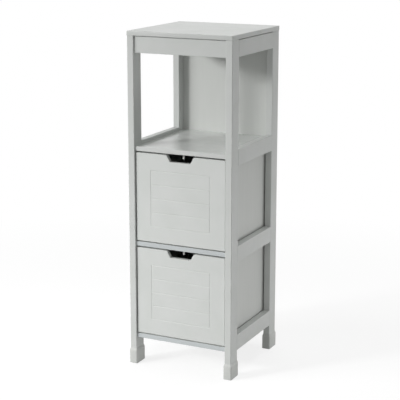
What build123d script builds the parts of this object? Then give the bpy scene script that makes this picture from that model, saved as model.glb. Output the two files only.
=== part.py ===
from build123d import *
from math import atan2, degrees
import os

# A narrow bathroom floor cabinet in lacquered board. Two ladder side frames of posts and rails
# carry three boards, a top, a front apron and thin side and back sheets. Above is an open bay,
# below are two deep drawers that slide on the boards. Each drawer is caught by a stop peg.
# Millimetres. The origin is on the floor under the middle, -Y is the front, +X the right, +Z up.

# Overall size, over the foot caps
WIDTH = 300.0
DEPTH = 300.0
HEIGHT = 890.0

# Stock thicknesses
FRAME_T = 18.0
BOARD_T = 12.0
SHEET_T = 3.0

# Posts, rails and foot caps
POST_D = 40.0
RAIL_H = 42.0
CAP_WALL = 2.5
CAP_H = 42.0
CAP_FLOOR = 3.0
CAP_SLOPE_H = 6.0
CAP_LIP = 0.3
CAP_CORNER = 1.8
CAP_FOOT_BEVEL = 0.8
TENON_T = 8.0
TENON_H = 30.0
TENON_L = 12.0

# Heights: the bottom board's underside, the clear height of a drawer bay, and how far each
# side rail starts below the board that it carries
BOTTOM_Z = 73.0
BAY_H = 242.0
RAIL_DROPS = {"bottom": 4.0, "middle": 19.0, "shelf": 21.0}
TOP_GAP = 1.5

# How far the boards, the apron and the drawer fronts stand behind the posts' front faces
FRONT_RECESS = 5.0
TOP_OVERHANG = 1.0

# Thin side and back sheets
SIDE_SHEET_GAP = 3.0
SIDE_SHEET_SETBACK = 15.0
REBATE_D = 2.5
BACK_SETBACK = 14.0
GROOVE_D = 6.0
SLACK = 0.1

# Drawer
FRONT_SIDE_GAP = 2.5
FRONT_LOW_GAP = 3.0
FRONT_TOP_GAP = 4.0
BOX_SIDE_GAP = 1.5
BOX_LIFT = 0.4
BOX_TOP_GAP = 9.0
BOX_BACK_GAP = 0.5
FLOOR_UP = 12.0
FLOOR_GROOVE_D = 4.0

# Finger cut-out in the top edge of a drawer front
CUT_TOP_W = 78.0
CUT_LOW_W = 58.0
CUT_D = 17.5
CUT_LOW_R = 3.0
CUT_TOP_R = 2.0

# Routed pattern on a drawer front: a frame of V grooves with cross grooves between
PATTERN_W = 169.0
PATTERN_H = 148.0
PATTERN_STRIPS = 4
PATTERN_DROP = 1.0
VEE_W = 3.0
VEE_D = 1.2

# Eased edges
TOP_EASE = 1.2
POST_EASE = 1.0
EASE = 0.6

# Fittings: one size of dowel, cam lock and cam bolt serves the whole cabinet. They are many and
# small, so they and their holes are prisms of a few sides.
PIN_SIDES = 8
CAM_SIDES = 12
HOLE_SLACK = 0.05
DOWEL_R = 3.0
DOWEL_L = 25.0
HOLE_END = 0.5
BOARD_DOWEL_SEAT = 12.0
FRONT_DOWEL_SEAT = 9.0
CAM_R = 6.0
CAM_D = 9.5
CAM_AXIS_D = 6.0
CAM_REACH = 24.0
CAM_SLOT_W = 5.6
BOLT_THREAD_R = 3.0
BOLT_THREAD_L = 8.5
BOLT_NECK_R = 2.0
BOLT_HEAD_R = 2.6
BOLT_HEAD_L = 3.5
BOLT_PAST_CAM = 1.0
NECK_HOLE_R = 2.5
BACK_SCREW_R = 1.5
BACK_SCREW_L = 16.0
BACK_SCREW_HEAD_R = 3.0
BACK_SCREW_HEAD_H = 2.0
DRAWER_SCREW_R = 1.75
DRAWER_SCREW_HEAD_R = 3.5
DRAWER_SCREW_HEAD_H = 1.75
DRAWER_SCREW_L = 30.0
PEG_R = 3.0
PEG_DROP = 15.0
PEG_SEAT = 8.0
PEG_SETBACK = 22.5
PEG_EASE = 0.6

# Places of the fittings
BOARD_CAM_Y = 75.0
TOP_CAM_Y = 70.0
BOARD_DOWEL_Y = 125.0
APRON_BOLT_UP = 13.0
APRON_DOWEL_UP = 31.5
BACK_SCREW_X = 70.0
DRAWER_CAM_UP = (60.0, 175.0)
DRAWER_DOWEL_UP = (28.0, 210.0)
DRAWER_SCREW_UP = (45.0, 190.0)

# Worked out from the values above
POST_X = WIDTH / 2 - CAP_WALL
POST_Y = DEPTH / 2 - CAP_WALL
INNER_X = POST_X - FRAME_T
INNER_Y = POST_Y - POST_D
POST_TOP = HEIGHT - BOARD_T
FRONT_Y = -POST_Y + FRONT_RECESS
BACK_Y = POST_Y - BACK_SETBACK
RAIL_MID_X = POST_X - FRAME_T / 2
SHEET_OUT_X = INNER_X - SIDE_SHEET_GAP
SHEET_IN_X = SHEET_OUT_X - SHEET_T
SHEET_FRONT_Y = FRONT_Y + SIDE_SHEET_SETBACK
BOARD_PITCH = BAY_H + BOARD_T
BOARD_Z = {"bottom": BOTTOM_Z, "divider": BOTTOM_Z + BOARD_PITCH, "shelf": BOTTOM_Z + 2 * BOARD_PITCH}
RAIL_Z = {
    "bottom": BOARD_Z["bottom"] - RAIL_DROPS["bottom"],
    "middle": BOARD_Z["divider"] - RAIL_DROPS["middle"],
    "shelf": BOARD_Z["shelf"] - RAIL_DROPS["shelf"],
    "top": POST_TOP - TOP_GAP - RAIL_H,
}
DRAWER_BAY_Z = {"upper": BOARD_Z["divider"] + BOARD_T, "lower": BOARD_Z["bottom"] + BOARD_T}
APRON_MID_Y = FRONT_Y + BOARD_T / 2
TOP_CAM_Z = POST_TOP - CAM_REACH
TOP_BOLT_X = INNER_X + CAM_AXIS_D
PEG_Y = FRONT_Y + PEG_SETBACK
FRONT_HALF_W = INNER_X - FRONT_SIDE_GAP
FRONT_H = BAY_H - FRONT_LOW_GAP - FRONT_TOP_GAP
FRONT_IN_Y = FRONT_Y + BOARD_T
BOX_X = SHEET_IN_X - BOX_SIDE_GAP
BOX_IN_X = BOX_X - BOARD_T
BOX_MID_X = BOX_X - BOARD_T / 2
BOX_BACK_Y = BACK_Y - BOX_BACK_GAP
BOX_BACK_IN_Y = BOX_BACK_Y - BOARD_T
BOX_H = BAY_H - BOX_LIFT - BOX_TOP_GAP
SINK_ANGLE = degrees(atan2(DRAWER_SCREW_HEAD_R - DRAWER_SCREW_R, DRAWER_SCREW_HEAD_H))

# Which board each rail carries, which boards hold a peg, and where a board is rebated
RAIL_BOARDS = {"bottom": "bottom", "middle": "divider", "shelf": "shelf"}
PEG_BOARDS = {"upper": "shelf", "lower": "divider"}
UNDERSIDE, UPPER_SIDE = 0.0, BOARD_T - REBATE_D
REBATES = {"bottom": (UPPER_SIDE,), "divider": (UPPER_SIDE, UNDERSIDE), "shelf": (UNDERSIDE,)}

SIDES = {"left": -1, "right": 1}
ENDS = {"front": -1, "back": 1}
LOW = (Align.CENTER, Align.CENTER, Align.MIN)

os.makedirs("parts", exist_ok=True)


def save(piece, label):
    """Names a finished piece and writes it to its own file."""
    piece.part.label = label
    export_step(piece.part, f"parts/{label}.step")


def facing(points, outward, along=None):
    """Planes at the given points, with their normals pointing out of the wood."""
    if along is None:
        return [Plane(origin=point, z_dir=outward) for point in points]
    return [Plane(origin=point, x_dir=along, z_dir=outward) for point in points]


def drill(planes, radius, depth, sides=PIN_SIDES):
    """Cuts many-sided holes into the wood behind the given planes."""
    with BuildSketch(*planes) as mouths:
        RegularPolygon(radius, sides)
    extrude(to_extrude=mouths.sketch, amount=-depth, mode=Mode.SUBTRACT)


def prisms(planes, radius, start, length, sides=PIN_SIDES):
    """Adds many-sided prisms on the given planes, from start to start plus length along their normals."""
    with BuildSketch(*[plane.offset(start) for plane in planes]) as ends:
        RegularPolygon(radius, sides)
    extrude(to_extrude=ends.sketch, amount=length)


def vee_profile(plane):
    """The section of a V groove, on a plane whose Y axis points into the wood."""
    with BuildSketch(plane) as profile:
        with BuildLine():
            Polyline((-VEE_W / 2, 0), (VEE_W / 2, 0), (0, VEE_D), close=True)
        make_face()
    return profile.sketch


# Where the dowels, bolts and cams sit. Each list is shared by both pieces that meet there.
def board_dowel_point(side, end, board):
    return (side * INNER_X, end * BOARD_DOWEL_Y, BOARD_Z[board] + BOARD_T / 2)


def board_bolt_points(side, board):
    height = BOARD_Z[board] + BOARD_T / 2
    return [(side * INNER_X, end * BOARD_CAM_Y, height) for end in ENDS.values()]


def board_cam_points(side, board):
    reach = side * (INNER_X - CAM_REACH)
    return [(reach, end * BOARD_CAM_Y, BOARD_Z[board]) for end in ENDS.values()]


def top_bolt_points(side):
    return [(side * TOP_BOLT_X, end * TOP_CAM_Y, POST_TOP) for end in ENDS.values()]


def top_cam_points(side):
    return [(side * INNER_X, end * TOP_CAM_Y, TOP_CAM_Z) for end in ENDS.values()]


def apron_bolt_point(side):
    return (side * INNER_X, APRON_MID_Y, RAIL_Z["top"] + APRON_BOLT_UP)


def apron_cam_point(side):
    return (side * (INNER_X - CAM_REACH), FRONT_IN_Y, RAIL_Z["top"] + APRON_BOLT_UP)


def apron_dowel_point(side):
    return (side * INNER_X, APRON_MID_Y, RAIL_Z["top"] + APRON_DOWEL_UP)


def back_screw_points():
    heights = [low + BOARD_T / 2 for low in BOARD_Z.values()]
    return [(side * BACK_SCREW_X, BACK_Y + SHEET_T, height) for height in heights for side in SIDES.values()]


def box_low(which):
    return DRAWER_BAY_Z[which] + BOX_LIFT


def drawer_points(which, side, y, x, ups):
    return [(side * x, y, box_low(which) + up) for up in ups]


def drawer_screw_points(which, side, x):
    return drawer_points(which, side, BOX_BACK_Y - BOARD_T / 2, x, DRAWER_SCREW_UP)


# Side frames
def make_post(side_name, end_name):
    """A post, mortised for the rails and drilled for what joins it; a back one is grooved for the sheet."""
    side, end = SIDES[side_name], ENDS[end_name]
    inward = (-side, 0, 0)
    with BuildPart() as post:
        with Locations((side * RAIL_MID_X, end * (POST_Y - POST_D / 2), CAP_FLOOR)):
            Box(FRAME_T, POST_D, POST_TOP - CAP_FLOOR, align=LOW)
        chamfer(post.edges().filter_by(Axis.Z), POST_EASE)
        mortise_l = 2 * (TENON_L + HOLE_END)
        for low in RAIL_Z.values():
            with Locations((side * RAIL_MID_X, end * INNER_Y, low + RAIL_H / 2)):
                Box(TENON_T + 2 * HOLE_SLACK, mortise_l, TENON_H + 2 * HOLE_SLACK, mode=Mode.SUBTRACT)
        dowels = [board_dowel_point(side, end, board) for board in BOARD_Z]
        if end_name == "front":
            dowels.append(apron_dowel_point(side))
            bolt = facing([apron_bolt_point(side)], inward)
            drill(bolt, BOLT_THREAD_R + HOLE_SLACK, BOLT_THREAD_L + HOLE_END)
        else:
            with Locations((side * INNER_X, BACK_Y + SHEET_T / 2, BOTTOM_Z)):
                Box(2 * GROOVE_D, SHEET_T + 2 * SLACK, POST_TOP - BOTTOM_Z, align=LOW, mode=Mode.SUBTRACT)
        drill(facing(dowels, inward), DOWEL_R + HOLE_SLACK, BOARD_DOWEL_SEAT + HOLE_END)
    save(post, f"post_{end_name}_{side_name}")


def make_rail(side_name, level):
    """A side rail with a stub tenon at each end, drilled for a board's bolts or for the top's cams."""
    side = SIDES[side_name]
    inward = (-side, 0, 0)
    with BuildPart() as rail:
        with Locations((side * RAIL_MID_X, 0, RAIL_Z[level] + RAIL_H / 2)):
            Box(FRAME_T, 2 * INNER_Y, RAIL_H)
        outer = rail.faces().sort_by(Axis.X)[-1 if side > 0 else 0]
        chamfer(outer.edges().filter_by(Axis.Y), EASE)
        with Locations((side * RAIL_MID_X, 0, RAIL_Z[level] + RAIL_H / 2)):
            Box(TENON_T, 2 * (INNER_Y + TENON_L), TENON_H)
        if level == "top":
            drill(facing(top_bolt_points(side), (0, 0, 1)), NECK_HOLE_R, TOP_GAP + CAM_REACH)
            drill(facing(top_cam_points(side), inward), CAM_R + HOLE_SLACK, CAM_D + HOLE_SLACK, CAM_SIDES)
        else:
            bolts = board_bolt_points(side, RAIL_BOARDS[level])
            drill(facing(bolts, inward), BOLT_THREAD_R + HOLE_SLACK, BOLT_THREAD_L + HOLE_END)
    save(rail, f"rail_{side_name}_{level}")


def make_foot_cap(side_name, end_name):
    """A moulded sleeve pushed over a post's lower end, with a sloped rim and a closed sole."""
    side, end = SIDES[side_name], ENDS[end_name]
    middle = (side * RAIL_MID_X, end * (POST_Y - POST_D / 2))
    slope = degrees(atan2(CAP_WALL - CAP_LIP, CAP_SLOPE_H))
    with BuildPart() as cap:
        with BuildSketch() as outline:
            with Locations(middle):
                Rectangle(FRAME_T + 2 * CAP_WALL, POST_D + 2 * CAP_WALL)
            chamfer(outline.vertices(), CAP_CORNER)
        extrude(amount=CAP_H - CAP_SLOPE_H)
        chamfer(cap.faces().sort_by(Axis.Z)[0].edges(), CAP_FOOT_BEVEL)
        extrude(cap.faces().sort_by(Axis.Z)[-1], amount=CAP_SLOPE_H, taper=slope)
        with Locations((*middle, CAP_FLOOR)):
            Box(FRAME_T, POST_D, CAP_H, align=LOW, mode=Mode.SUBTRACT)
    save(cap, f"foot_cap_{end_name}_{side_name}")


# Boards, top and apron
def make_board(board):
    """A board between the side frames, rebated for the thin side sheets of the bays that it bounds."""
    low = BOARD_Z[board]
    rebate_w = INNER_X - SHEET_IN_X
    rebate_y = (SHEET_FRONT_Y + BACK_Y) / 2
    under = (0, 0, -1)
    with BuildPart() as panel:
        with Locations((0, (FRONT_Y + BACK_Y) / 2, low)):
            Box(2 * INNER_X, BACK_Y - FRONT_Y, BOARD_T, align=LOW)
        chamfer(panel.faces().sort_by(Axis.Y)[0].edges().filter_by(Axis.X), EASE)
        rebate_x = INNER_X - rebate_w / 2
        for height in REBATES[board]:
            with Locations((-rebate_x, rebate_y, low + height), (rebate_x, rebate_y, low + height)):
                Box(rebate_w, BACK_Y - SHEET_FRONT_Y, REBATE_D, align=LOW, mode=Mode.SUBTRACT)
        for side in SIDES.values():
            outward = (side, 0, 0)
            dowels = [board_dowel_point(side, end, board) for end in ENDS.values()]
            drill(facing(dowels, outward), DOWEL_R + HOLE_SLACK, DOWEL_L - BOARD_DOWEL_SEAT + HOLE_END)
            drill(facing(board_bolt_points(side, board), outward), NECK_HOLE_R, CAM_REACH)
            cams = facing(board_cam_points(side, board), under)
            drill(cams, CAM_R + HOLE_SLACK, CAM_D + HOLE_SLACK, CAM_SIDES)
        screws = [(side * BACK_SCREW_X, BACK_Y, low + BOARD_T / 2) for side in SIDES.values()]
        drill(facing(screws, (0, 1, 0)), BACK_SCREW_R + HOLE_SLACK, BACK_SCREW_L - SHEET_T + HOLE_END)
        if board in PEG_BOARDS.values():
            with Locations(*facing([(0, PEG_Y, low)], under)):
                Hole(PEG_R + HOLE_SLACK, PEG_SEAT)
    save(panel, f"{board}_board")


def make_top():
    """The top panel, a little wider than the posts, with all its edges eased."""
    with BuildPart() as top:
        with Locations((0, 0, POST_TOP)):
            Box(2 * (POST_X + TOP_OVERHANG), 2 * (POST_Y + TOP_OVERHANG), BOARD_T, align=LOW)
        chamfer(top.edges(), TOP_EASE)
        bolts = [point for side in SIDES.values() for point in top_bolt_points(side)]
        drill(facing(bolts, (0, 0, -1)), BOLT_THREAD_R + HOLE_SLACK, BOLT_THREAD_L + HOLE_END)
    save(top, "top_panel")


def make_apron():
    """The rail across the front under the top, between the two front posts."""
    with BuildPart() as apron:
        with Locations((0, APRON_MID_Y, RAIL_Z["top"])):
            Box(2 * INNER_X, BOARD_T, RAIL_H, align=LOW)
        chamfer(apron.faces().sort_by(Axis.Y)[0].edges().filter_by(Axis.X), EASE)
        for side in SIDES.values():
            outward = (side, 0, 0)
            dowel_depth = DOWEL_L - BOARD_DOWEL_SEAT + HOLE_END
            drill(facing([apron_dowel_point(side)], outward), DOWEL_R + HOLE_SLACK, dowel_depth)
            drill(facing([apron_bolt_point(side)], outward), NECK_HOLE_R, CAM_REACH)
            cam = facing([apron_cam_point(side)], (0, 1, 0))
            drill(cam, CAM_R + HOLE_SLACK, CAM_D + HOLE_SLACK, CAM_SIDES)
    save(apron, "front_apron")


# Thin sheets
def make_back_sheet():
    """The back sheet, slid down the grooves in the back posts and screwed to the boards."""
    half_w = INNER_X + GROOVE_D - SLACK
    with BuildPart() as sheet:
        with Locations((0, BACK_Y + SHEET_T / 2, BOTTOM_Z)):
            Box(2 * half_w, SHEET_T, POST_TOP - TOP_GAP / 2 - BOTTOM_Z, align=LOW)
        drill(facing(back_screw_points(), (0, 1, 0)), BACK_SCREW_R + HOLE_SLACK, SHEET_T)
    save(sheet, "back_panel")


def make_side_sheet(side_name, which):
    """A thin side sheet between two boards, standing in their rebates just inside the frame."""
    side = SIDES[side_name]
    low = DRAWER_BAY_Z[which] - REBATE_D
    with BuildPart() as sheet:
        with Locations((side * (SHEET_OUT_X - SHEET_T / 2), (SHEET_FRONT_Y + BACK_Y) / 2, low)):
            Box(SHEET_T, BACK_Y - SHEET_FRONT_Y, BAY_H + 2 * REBATE_D - SLACK, align=LOW)
    save(sheet, f"side_panel_{side_name}_{which}")


# Drawers
def make_drawer_front(which):
    """A drawer front with its finger cut-out and its routed pattern of V grooves."""
    low = DRAWER_BAY_Z[which] + FRONT_LOW_GAP
    high = low + FRONT_H
    with BuildPart() as front:
        with BuildSketch(Plane.XZ.offset(-FRONT_IN_Y)) as outline:
            with Locations((0, (low + high) / 2)):
                Rectangle(2 * FRONT_HALF_W, FRONT_H)
            with BuildLine():
                Polyline(
                    (-CUT_TOP_W / 2, high),
                    (-CUT_LOW_W / 2, high - CUT_D),
                    (CUT_LOW_W / 2, high - CUT_D),
                    (CUT_TOP_W / 2, high),
                    close=True,
                )
            make_face(mode=Mode.SUBTRACT)
            fillet(outline.vertices().group_by(Axis.Y)[1], CUT_LOW_R)
            fillet(outline.vertices().group_by(Axis.Y)[-1].sort_by(Axis.X)[1:3], CUT_TOP_R)
        extrude(amount=BOARD_T)
        chamfer(front.faces().sort_by(Axis.Y)[0].edges(), EASE)

        half_w = PATTERN_W / 2
        bottom = (low + high - PATTERN_H) / 2 - PATTERN_DROP
        rows = [bottom + row * PATTERN_H / PATTERN_STRIPS for row in range(PATTERN_STRIPS + 1)]
        with BuildLine() as around:
            Polyline(
                (0, FRONT_Y, rows[0]),
                (half_w, FRONT_Y, rows[0]),
                (half_w, FRONT_Y, rows[-1]),
                (-half_w, FRONT_Y, rows[-1]),
                (-half_w, FRONT_Y, rows[0]),
                close=True,
            )
        start = Plane(origin=(0, FRONT_Y, rows[0]), x_dir=(0, 0, -1), z_dir=(1, 0, 0))
        sweep(vee_profile(start), around.line, transition=Transition.RIGHT, mode=Mode.SUBTRACT)
        for height in rows[1:-1]:
            start = Plane(origin=(-half_w, FRONT_Y, height), x_dir=(0, 0, -1), z_dir=(1, 0, 0))
            extrude(vee_profile(start), amount=PATTERN_W, mode=Mode.SUBTRACT)

        with Locations((0, FRONT_IN_Y, box_low(which) + FLOOR_UP)):
            groove_w = 2 * (BOX_IN_X + FLOOR_GROOVE_D)
            Box(groove_w, 2 * FLOOR_GROOVE_D, SHEET_T + 2 * SLACK, align=LOW, mode=Mode.SUBTRACT)
        back = (0, 1, 0)
        for side in SIDES.values():
            bolts = drawer_points(which, side, FRONT_IN_Y, BOX_MID_X, DRAWER_CAM_UP)
            drill(facing(bolts, back), BOLT_THREAD_R + HOLE_SLACK, BOLT_THREAD_L + HOLE_END)
            dowels = drawer_points(which, side, FRONT_IN_Y, BOX_MID_X, DRAWER_DOWEL_UP)
            drill(facing(dowels, back), DOWEL_R + HOLE_SLACK, FRONT_DOWEL_SEAT + HOLE_END)
    save(front, f"{which}_drawer_front")


def make_drawer_side(which, side_name):
    """A drawer side, grooved for the floor, drilled for cams, dowels and the back's screws."""
    side = SIDES[side_name]
    low = box_low(which)
    middle_y = (FRONT_IN_Y + BOX_BACK_Y) / 2
    length = BOX_BACK_Y - FRONT_IN_Y
    ahead = (0, -1, 0)
    with BuildPart() as board:
        with Locations((side * BOX_MID_X, middle_y, low)):
            Box(BOARD_T, length, BOX_H, align=LOW)
        chamfer(board.faces().sort_by(Axis.Z)[-1].edges().filter_by(Axis.Y), EASE)
        with Locations((side * BOX_IN_X, middle_y, low + FLOOR_UP)):
            Box(2 * FLOOR_GROOVE_D, length, SHEET_T + 2 * SLACK, align=LOW, mode=Mode.SUBTRACT)
        dowels = drawer_points(which, side, FRONT_IN_Y, BOX_MID_X, DRAWER_DOWEL_UP)
        drill(facing(dowels, ahead), DOWEL_R + HOLE_SLACK, DOWEL_L - FRONT_DOWEL_SEAT + HOLE_END)
        bolts = drawer_points(which, side, FRONT_IN_Y, BOX_MID_X, DRAWER_CAM_UP)
        drill(facing(bolts, ahead), NECK_HOLE_R, CAM_REACH)
        cams = drawer_points(which, side, FRONT_IN_Y + CAM_REACH, BOX_IN_X, DRAWER_CAM_UP)
        drill(facing(cams, (-side, 0, 0)), CAM_R + HOLE_SLACK, CAM_D + HOLE_SLACK, CAM_SIDES)
        screws = facing(drawer_screw_points(which, side, BOX_X), (side, 0, 0))
        drill(screws, DRAWER_SCREW_R + HOLE_SLACK, BOARD_T)
        with BuildSketch(*screws) as mouths:
            RegularPolygon(DRAWER_SCREW_HEAD_R + HOLE_SLACK, PIN_SIDES)
        extrude(mouths.sketch, amount=-DRAWER_SCREW_HEAD_H, taper=SINK_ANGLE, mode=Mode.SUBTRACT)
    save(board, f"{which}_drawer_side_{side_name}")


def make_drawer_back(which):
    """A drawer back, set between the sides; the stop peg catches its upper edge."""
    low = box_low(which)
    with BuildPart() as board:
        with Locations((0, BOX_BACK_Y - BOARD_T / 2, low)):
            Box(2 * BOX_IN_X, BOARD_T, BOX_H, align=LOW)
        chamfer(board.faces().sort_by(Axis.Z)[-1].edges().filter_by(Axis.X), EASE)
        with Locations((0, BOX_BACK_IN_Y, low + FLOOR_UP)):
            Box(2 * BOX_IN_X, 2 * FLOOR_GROOVE_D, SHEET_T + 2 * SLACK, align=LOW, mode=Mode.SUBTRACT)
        for side in SIDES.values():
            screws = facing(drawer_screw_points(which, side, BOX_IN_X), (side, 0, 0))
            drill(screws, DRAWER_SCREW_R + HOLE_SLACK, DRAWER_SCREW_L - BOARD_T + HOLE_END)
    save(board, f"{which}_drawer_back")


def make_drawer_floor(which):
    """A drawer's floor sheet, held in grooves on all four sides."""
    edge_in = FLOOR_GROOVE_D - 2 * SLACK
    front_y = FRONT_IN_Y - edge_in
    back_y = BOX_BACK_IN_Y + edge_in
    with BuildPart() as sheet:
        with Locations((0, (front_y + back_y) / 2, box_low(which) + FLOOR_UP + SLACK)):
            Box(2 * (BOX_IN_X + edge_in), back_y - front_y, SHEET_T, align=LOW)
    save(sheet, f"{which}_drawer_bottom")


# Fittings, each kind a group of separate like solids
def make_dowels(label, planes, seat):
    """Wooden dowels; each stands its seat deep behind its plane and the rest in front of it."""
    with BuildPart() as dowels:
        prisms(planes, DOWEL_R, -seat, DOWEL_L)
    save(dowels, label)


def make_cam_locks(label, planes):
    """Round cam locks, flush in a board's face, slotted for a bolt that comes along each plane's X."""
    slot_l = CAM_R + CAM_SLOT_W / 2
    slot_h = CAM_D - CAM_AXIS_D + CAM_SLOT_W / 2
    with BuildPart() as cams:
        prisms(planes, CAM_R, -CAM_D, CAM_D, CAM_SIDES)
        with Locations(*planes):
            with Locations((CAM_R - slot_l / 2, 0, -CAM_D)):
                Box(slot_l, CAM_SLOT_W, slot_h, align=LOW, mode=Mode.SUBTRACT)
    save(cams, label)


def make_cam_bolts(label, planes):
    """Cam bolts: a thread seated behind each plane, then a neck and a head in the cam lock."""
    neck_l = CAM_REACH + BOLT_PAST_CAM - BOLT_HEAD_L
    with BuildPart() as bolts:
        prisms(planes, BOLT_THREAD_R, -BOLT_THREAD_L, BOLT_THREAD_L)
        prisms(planes, BOLT_NECK_R, 0, neck_l)
        prisms(planes, BOLT_HEAD_R, neck_l, BOLT_HEAD_L)
    save(bolts, label)


def make_back_screws():
    """Pan-head screws through the back sheet into the boards' rear edges."""
    planes = facing(back_screw_points(), (0, 1, 0))
    with BuildPart() as screws:
        prisms(planes, BACK_SCREW_HEAD_R, 0, BACK_SCREW_HEAD_H)
        prisms(planes, BACK_SCREW_R, -BACK_SCREW_L, BACK_SCREW_L)
    save(screws, "back_panel_screws")


def make_drawer_screws(which):
    """Countersunk screws through the drawer sides into the drawer back."""
    planes = [plane for side in SIDES.values()
              for plane in facing(drawer_screw_points(which, side, BOX_X), (side, 0, 0))]
    with BuildPart() as screws:
        with BuildSketch(*planes) as heads:
            RegularPolygon(DRAWER_SCREW_HEAD_R, PIN_SIDES)
        extrude(heads.sketch, amount=-DRAWER_SCREW_HEAD_H, taper=SINK_ANGLE)
        prisms(planes, DRAWER_SCREW_R, -DRAWER_SCREW_L, DRAWER_SCREW_L - DRAWER_SCREW_HEAD_H / 2)
    save(screws, f"{which}_drawer_back_screws")


def make_stop_peg(which):
    """The round peg that hangs behind a drawer front and catches the drawer's back."""
    ceiling = DRAWER_BAY_Z[which] + BAY_H
    with BuildPart() as peg:
        with Locations((0, PEG_Y, ceiling - PEG_DROP)):
            Cylinder(PEG_R, PEG_DROP + PEG_SEAT, align=LOW)
        chamfer(peg.faces().sort_by(Axis.Z)[0].edges(), PEG_EASE)
    save(peg, f"stop_peg_{which}")


for side_name in SIDES:
    for end_name in ENDS:
        make_post(side_name, end_name)
        make_foot_cap(side_name, end_name)
    for level in RAIL_Z:
        make_rail(side_name, level)
    for which in DRAWER_BAY_Z:
        make_side_sheet(side_name, which)
for board in BOARD_Z:
    make_board(board)
make_top()
make_apron()
make_back_sheet()
make_back_screws()

for which in DRAWER_BAY_Z:
    make_drawer_front(which)
    for side_name in SIDES:
        make_drawer_side(which, side_name)
    make_drawer_back(which)
    make_drawer_floor(which)
    make_drawer_screws(which)
    make_stop_peg(which)

# The cabinet's own dowels, cam locks and cam bolts
dowels, cams, bolts, top_cams, top_bolts = [], [], [], [], []
for side in SIDES.values():
    inward = (-side, 0, 0)
    dowel_points = [board_dowel_point(side, end, board) for end in ENDS.values() for board in BOARD_Z]
    dowels += facing(dowel_points + [apron_dowel_point(side)], inward)
    for board in BOARD_Z:
        cams += facing(board_cam_points(side, board), (0, 0, -1), (side, 0, 0))
        bolts += facing(board_bolt_points(side, board), inward)
    cams += facing([apron_cam_point(side)], (0, 1, 0), (side, 0, 0))
    bolts += facing([apron_bolt_point(side)], inward)
    top_cams += facing(top_cam_points(side), inward, (0, 0, 1))
    top_bolts += facing(top_bolt_points(side), (0, 0, -1))
make_dowels("board_dowels", dowels, BOARD_DOWEL_SEAT)
make_cam_locks("board_cam_locks", cams)
make_cam_bolts("board_cam_bolts", bolts)
make_cam_locks("top_cam_locks", top_cams)
make_cam_bolts("top_cam_bolts", top_bolts)

# Each drawer's dowels, cam locks and cam bolts
for which in DRAWER_BAY_Z:
    dowels, cams, bolts = [], [], []
    for side in SIDES.values():
        back = (0, 1, 0)
        dowels += facing(drawer_points(which, side, FRONT_IN_Y, BOX_MID_X, DRAWER_DOWEL_UP), back)
        bolts += facing(drawer_points(which, side, FRONT_IN_Y, BOX_MID_X, DRAWER_CAM_UP), back)
        cam_points = drawer_points(which, side, FRONT_IN_Y + CAM_REACH, BOX_IN_X, DRAWER_CAM_UP)
        cams += facing(cam_points, (-side, 0, 0), (0, -1, 0))
    make_dowels(f"{which}_drawer_dowels", dowels, FRONT_DOWEL_SEAT)
    make_cam_locks(f"{which}_drawer_cam_locks", cams)
    make_cam_bolts(f"{which}_drawer_cam_bolts", bolts)
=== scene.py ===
import math

import bmesh
import bpy
import numpy as np
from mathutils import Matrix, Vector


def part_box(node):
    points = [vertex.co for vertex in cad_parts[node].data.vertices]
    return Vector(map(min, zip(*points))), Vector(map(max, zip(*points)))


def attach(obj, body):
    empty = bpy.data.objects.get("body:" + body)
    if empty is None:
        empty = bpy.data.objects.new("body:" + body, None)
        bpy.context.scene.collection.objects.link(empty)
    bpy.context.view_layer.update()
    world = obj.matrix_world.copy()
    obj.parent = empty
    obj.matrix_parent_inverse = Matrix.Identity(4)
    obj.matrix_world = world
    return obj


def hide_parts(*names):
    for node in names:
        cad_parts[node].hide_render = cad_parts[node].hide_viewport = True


# The looks of a narrow bathroom floor cabinet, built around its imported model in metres.
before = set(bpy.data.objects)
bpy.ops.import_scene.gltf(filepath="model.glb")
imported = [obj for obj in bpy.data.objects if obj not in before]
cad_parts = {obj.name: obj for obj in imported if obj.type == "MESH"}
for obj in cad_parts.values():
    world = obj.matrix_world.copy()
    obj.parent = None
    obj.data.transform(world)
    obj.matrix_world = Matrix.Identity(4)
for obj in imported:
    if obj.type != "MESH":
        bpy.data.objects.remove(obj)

bl_info = {
    "name": "Bathroom floor cabinet",
    "version": (1, 0, 0),
    "blender": (4, 5, 0),
    "location": "View3D > Sidebar > Cabinet",
    "description": "Dresses a lacquered two-drawer cabinet: fronts, top, foot caps, fittings and finishes",
    "category": "Object",
}

MM = 0.001
FRAME_BODY = "cabinet_frame"
DRAWERS = ("upper", "lower")
BOARDS = ("bottom_board", "divider_board", "shelf_board")
SIDES = {"left": -1.0, "right": 1.0}
ENDS = {"front": -1.0, "back": 1.0}

# How finely round forms are divided
ARC_STEPS = 6
PEG_SIDES = 32
HEAD_SIDES = 48
HEAD_RINGS = 18
BAR_STEPS = 24
PAN_STEPS = 5
FLOOR_SIDES = 96

# A ring this far inside a rounded edge keeps the flat face beside it flat in smooth shading
GUARD = 0.3 * MM
FRONT_GUARD = 0.4 * MM

# A drawer front's grid rows follow its upper outline from this far below the cut-out
CUT_MARGIN = 4 * MM

# Grid lines from the middle of a groove outwards, as shares of its width
GROOVE_LINES = np.array([0.0, 0.25, 0.6, 1.0, 1.3, 1.5, 1.75, 2.3]) / 3

# A groove under lacquer: how soft its lip is, the share of its depth left, and its end in half widths
GROOVE_SOFT = 0.08
GROOVE_KEPT = 0.96
GROOVE_END = 1.45

# A Mix node's colour sockets, whose names its other modes' sockets share
MIX_FIRST = 6
MIX_SECOND = 7
MIX_RESULT = 2


def linear(code):
    """An sRGB hex colour as linear red, green and blue: a straight toe, and above it a 2.4 power."""
    shown = np.array([int(code[place:place + 2], 16) for place in (1, 3, 5)]) / 255
    toe = shown / 12.92
    curve = ((shown + 0.055) / 1.055) ** 2.4
    return tuple(float(value) for value in np.where(shown <= 0.04045, toe, curve))


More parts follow.
